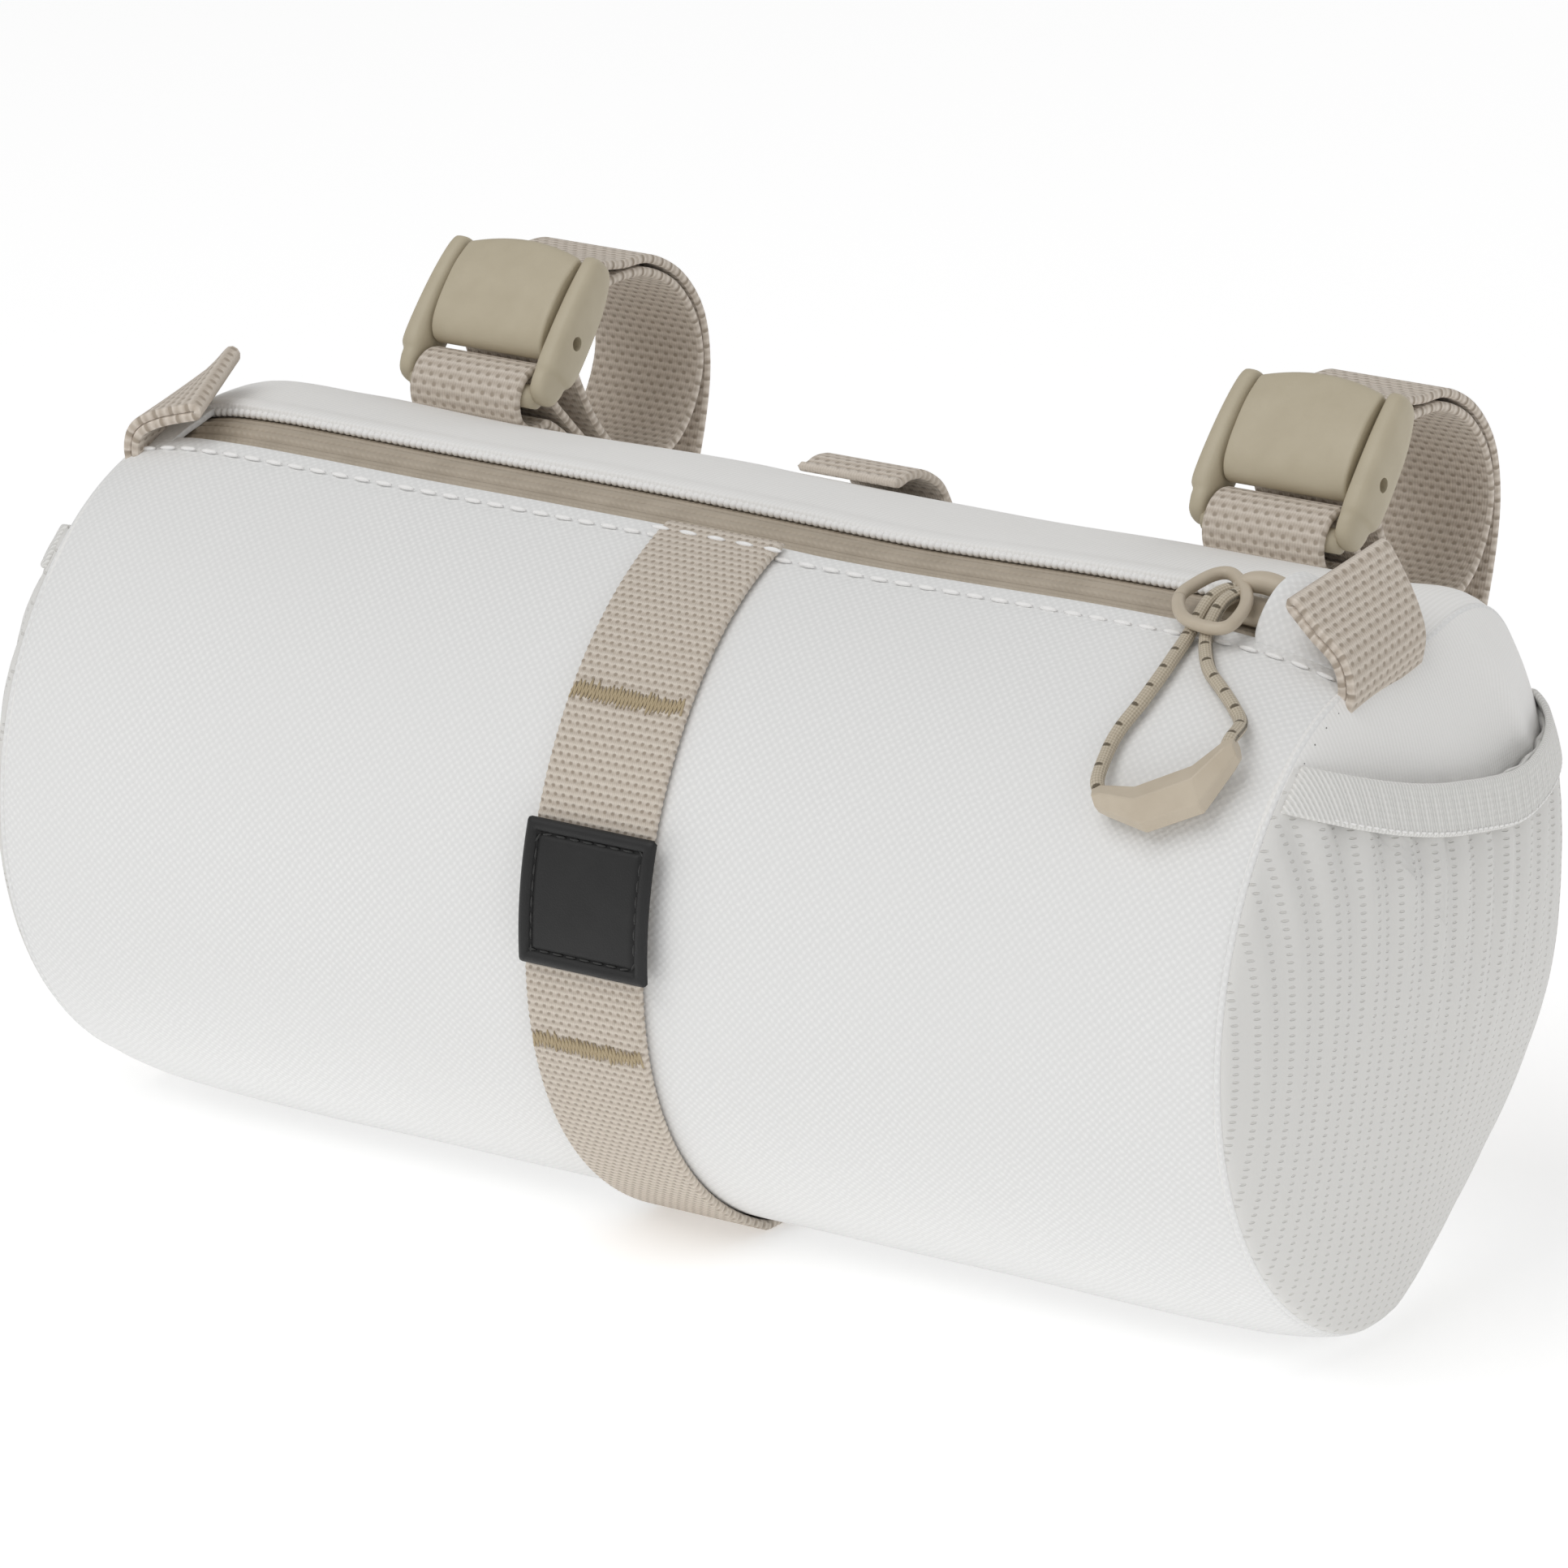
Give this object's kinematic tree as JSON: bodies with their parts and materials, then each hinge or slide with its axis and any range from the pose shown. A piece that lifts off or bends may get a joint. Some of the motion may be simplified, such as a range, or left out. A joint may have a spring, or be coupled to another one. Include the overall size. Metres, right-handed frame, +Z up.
{
  "type": "handlebar roll bag",
  "caption": "Soft cylindrical handlebar bag with a zip along the top, webbing loops with cam buckles for a bar, front webbing with a patch, and mesh end pockets.",
  "frame": {"origin": "centre of the flattened base where the roll rests on a surface", "axes": "+X along the roll toward the closed end of the zip, -Y is the front with the patch, +Z up"},
  "size_m": [0.2362, 0.1253, 0.1251],
  "materials": {
    "cloth": "plain weave",
    "coated": "fine ribbed weave",
    "mesh": "open knit",
    "elastic": "ribbed knit",
    "zip": "satin laminate",
    "pull": "satin moulded",
    "cord": "braided",
    "strap": "basket weave",
    "rubber": "matte moulded",
    "plastic": "matte moulded"
  },
  "bodies": {
    "bag": {"body_panel": "cloth", "end_panel_left": "coated", "end_panel_right": "coated", "zip_garage_left": "coated", "zip_garage_right": "coated", "mesh_pocket_left": "mesh", "mesh_pocket_right": "mesh", "pocket_hem_left": "elastic", "pocket_hem_right": "elastic", "zip_tape_front": "zip", "zip_tape_rear": "zip", "zip_slider": "pull", "zip_pull_ring": "pull", "zip_toggle": "pull", "zip_pull_cord": "cord", "front_webbing": "strap", "rear_tab": "strap", "side_tab_left": "strap", "side_tab_right": "strap", "buckle_loop_left": "strap", "buckle_loop_right": "strap", "handlebar_strap_left": "strap", "handlebar_strap_right": "strap", "rubber_patch": "rubber", "buckle_frame_left": "plastic", "buckle_frame_right": "plastic"},
    "lever_left": {"buckle_lever_left": "plastic"},
    "lever_right": {"buckle_lever_right": "plastic"}
  },
  "joints": [
    {"name": "cam_lever_left", "type": "hinge", "parent": "bag", "child": "lever_left", "pos_m": [-0.07, 0.0255, 0.114], "axis": [1, 0, 0], "range_deg": [0, 90]},
    {"name": "cam_lever_right", "type": "hinge", "parent": "bag", "child": "lever_right", "pos_m": [0.07, 0.0255, 0.114], "axis": [1, 0, 0], "range_deg": [0, 90]}
  ]
}
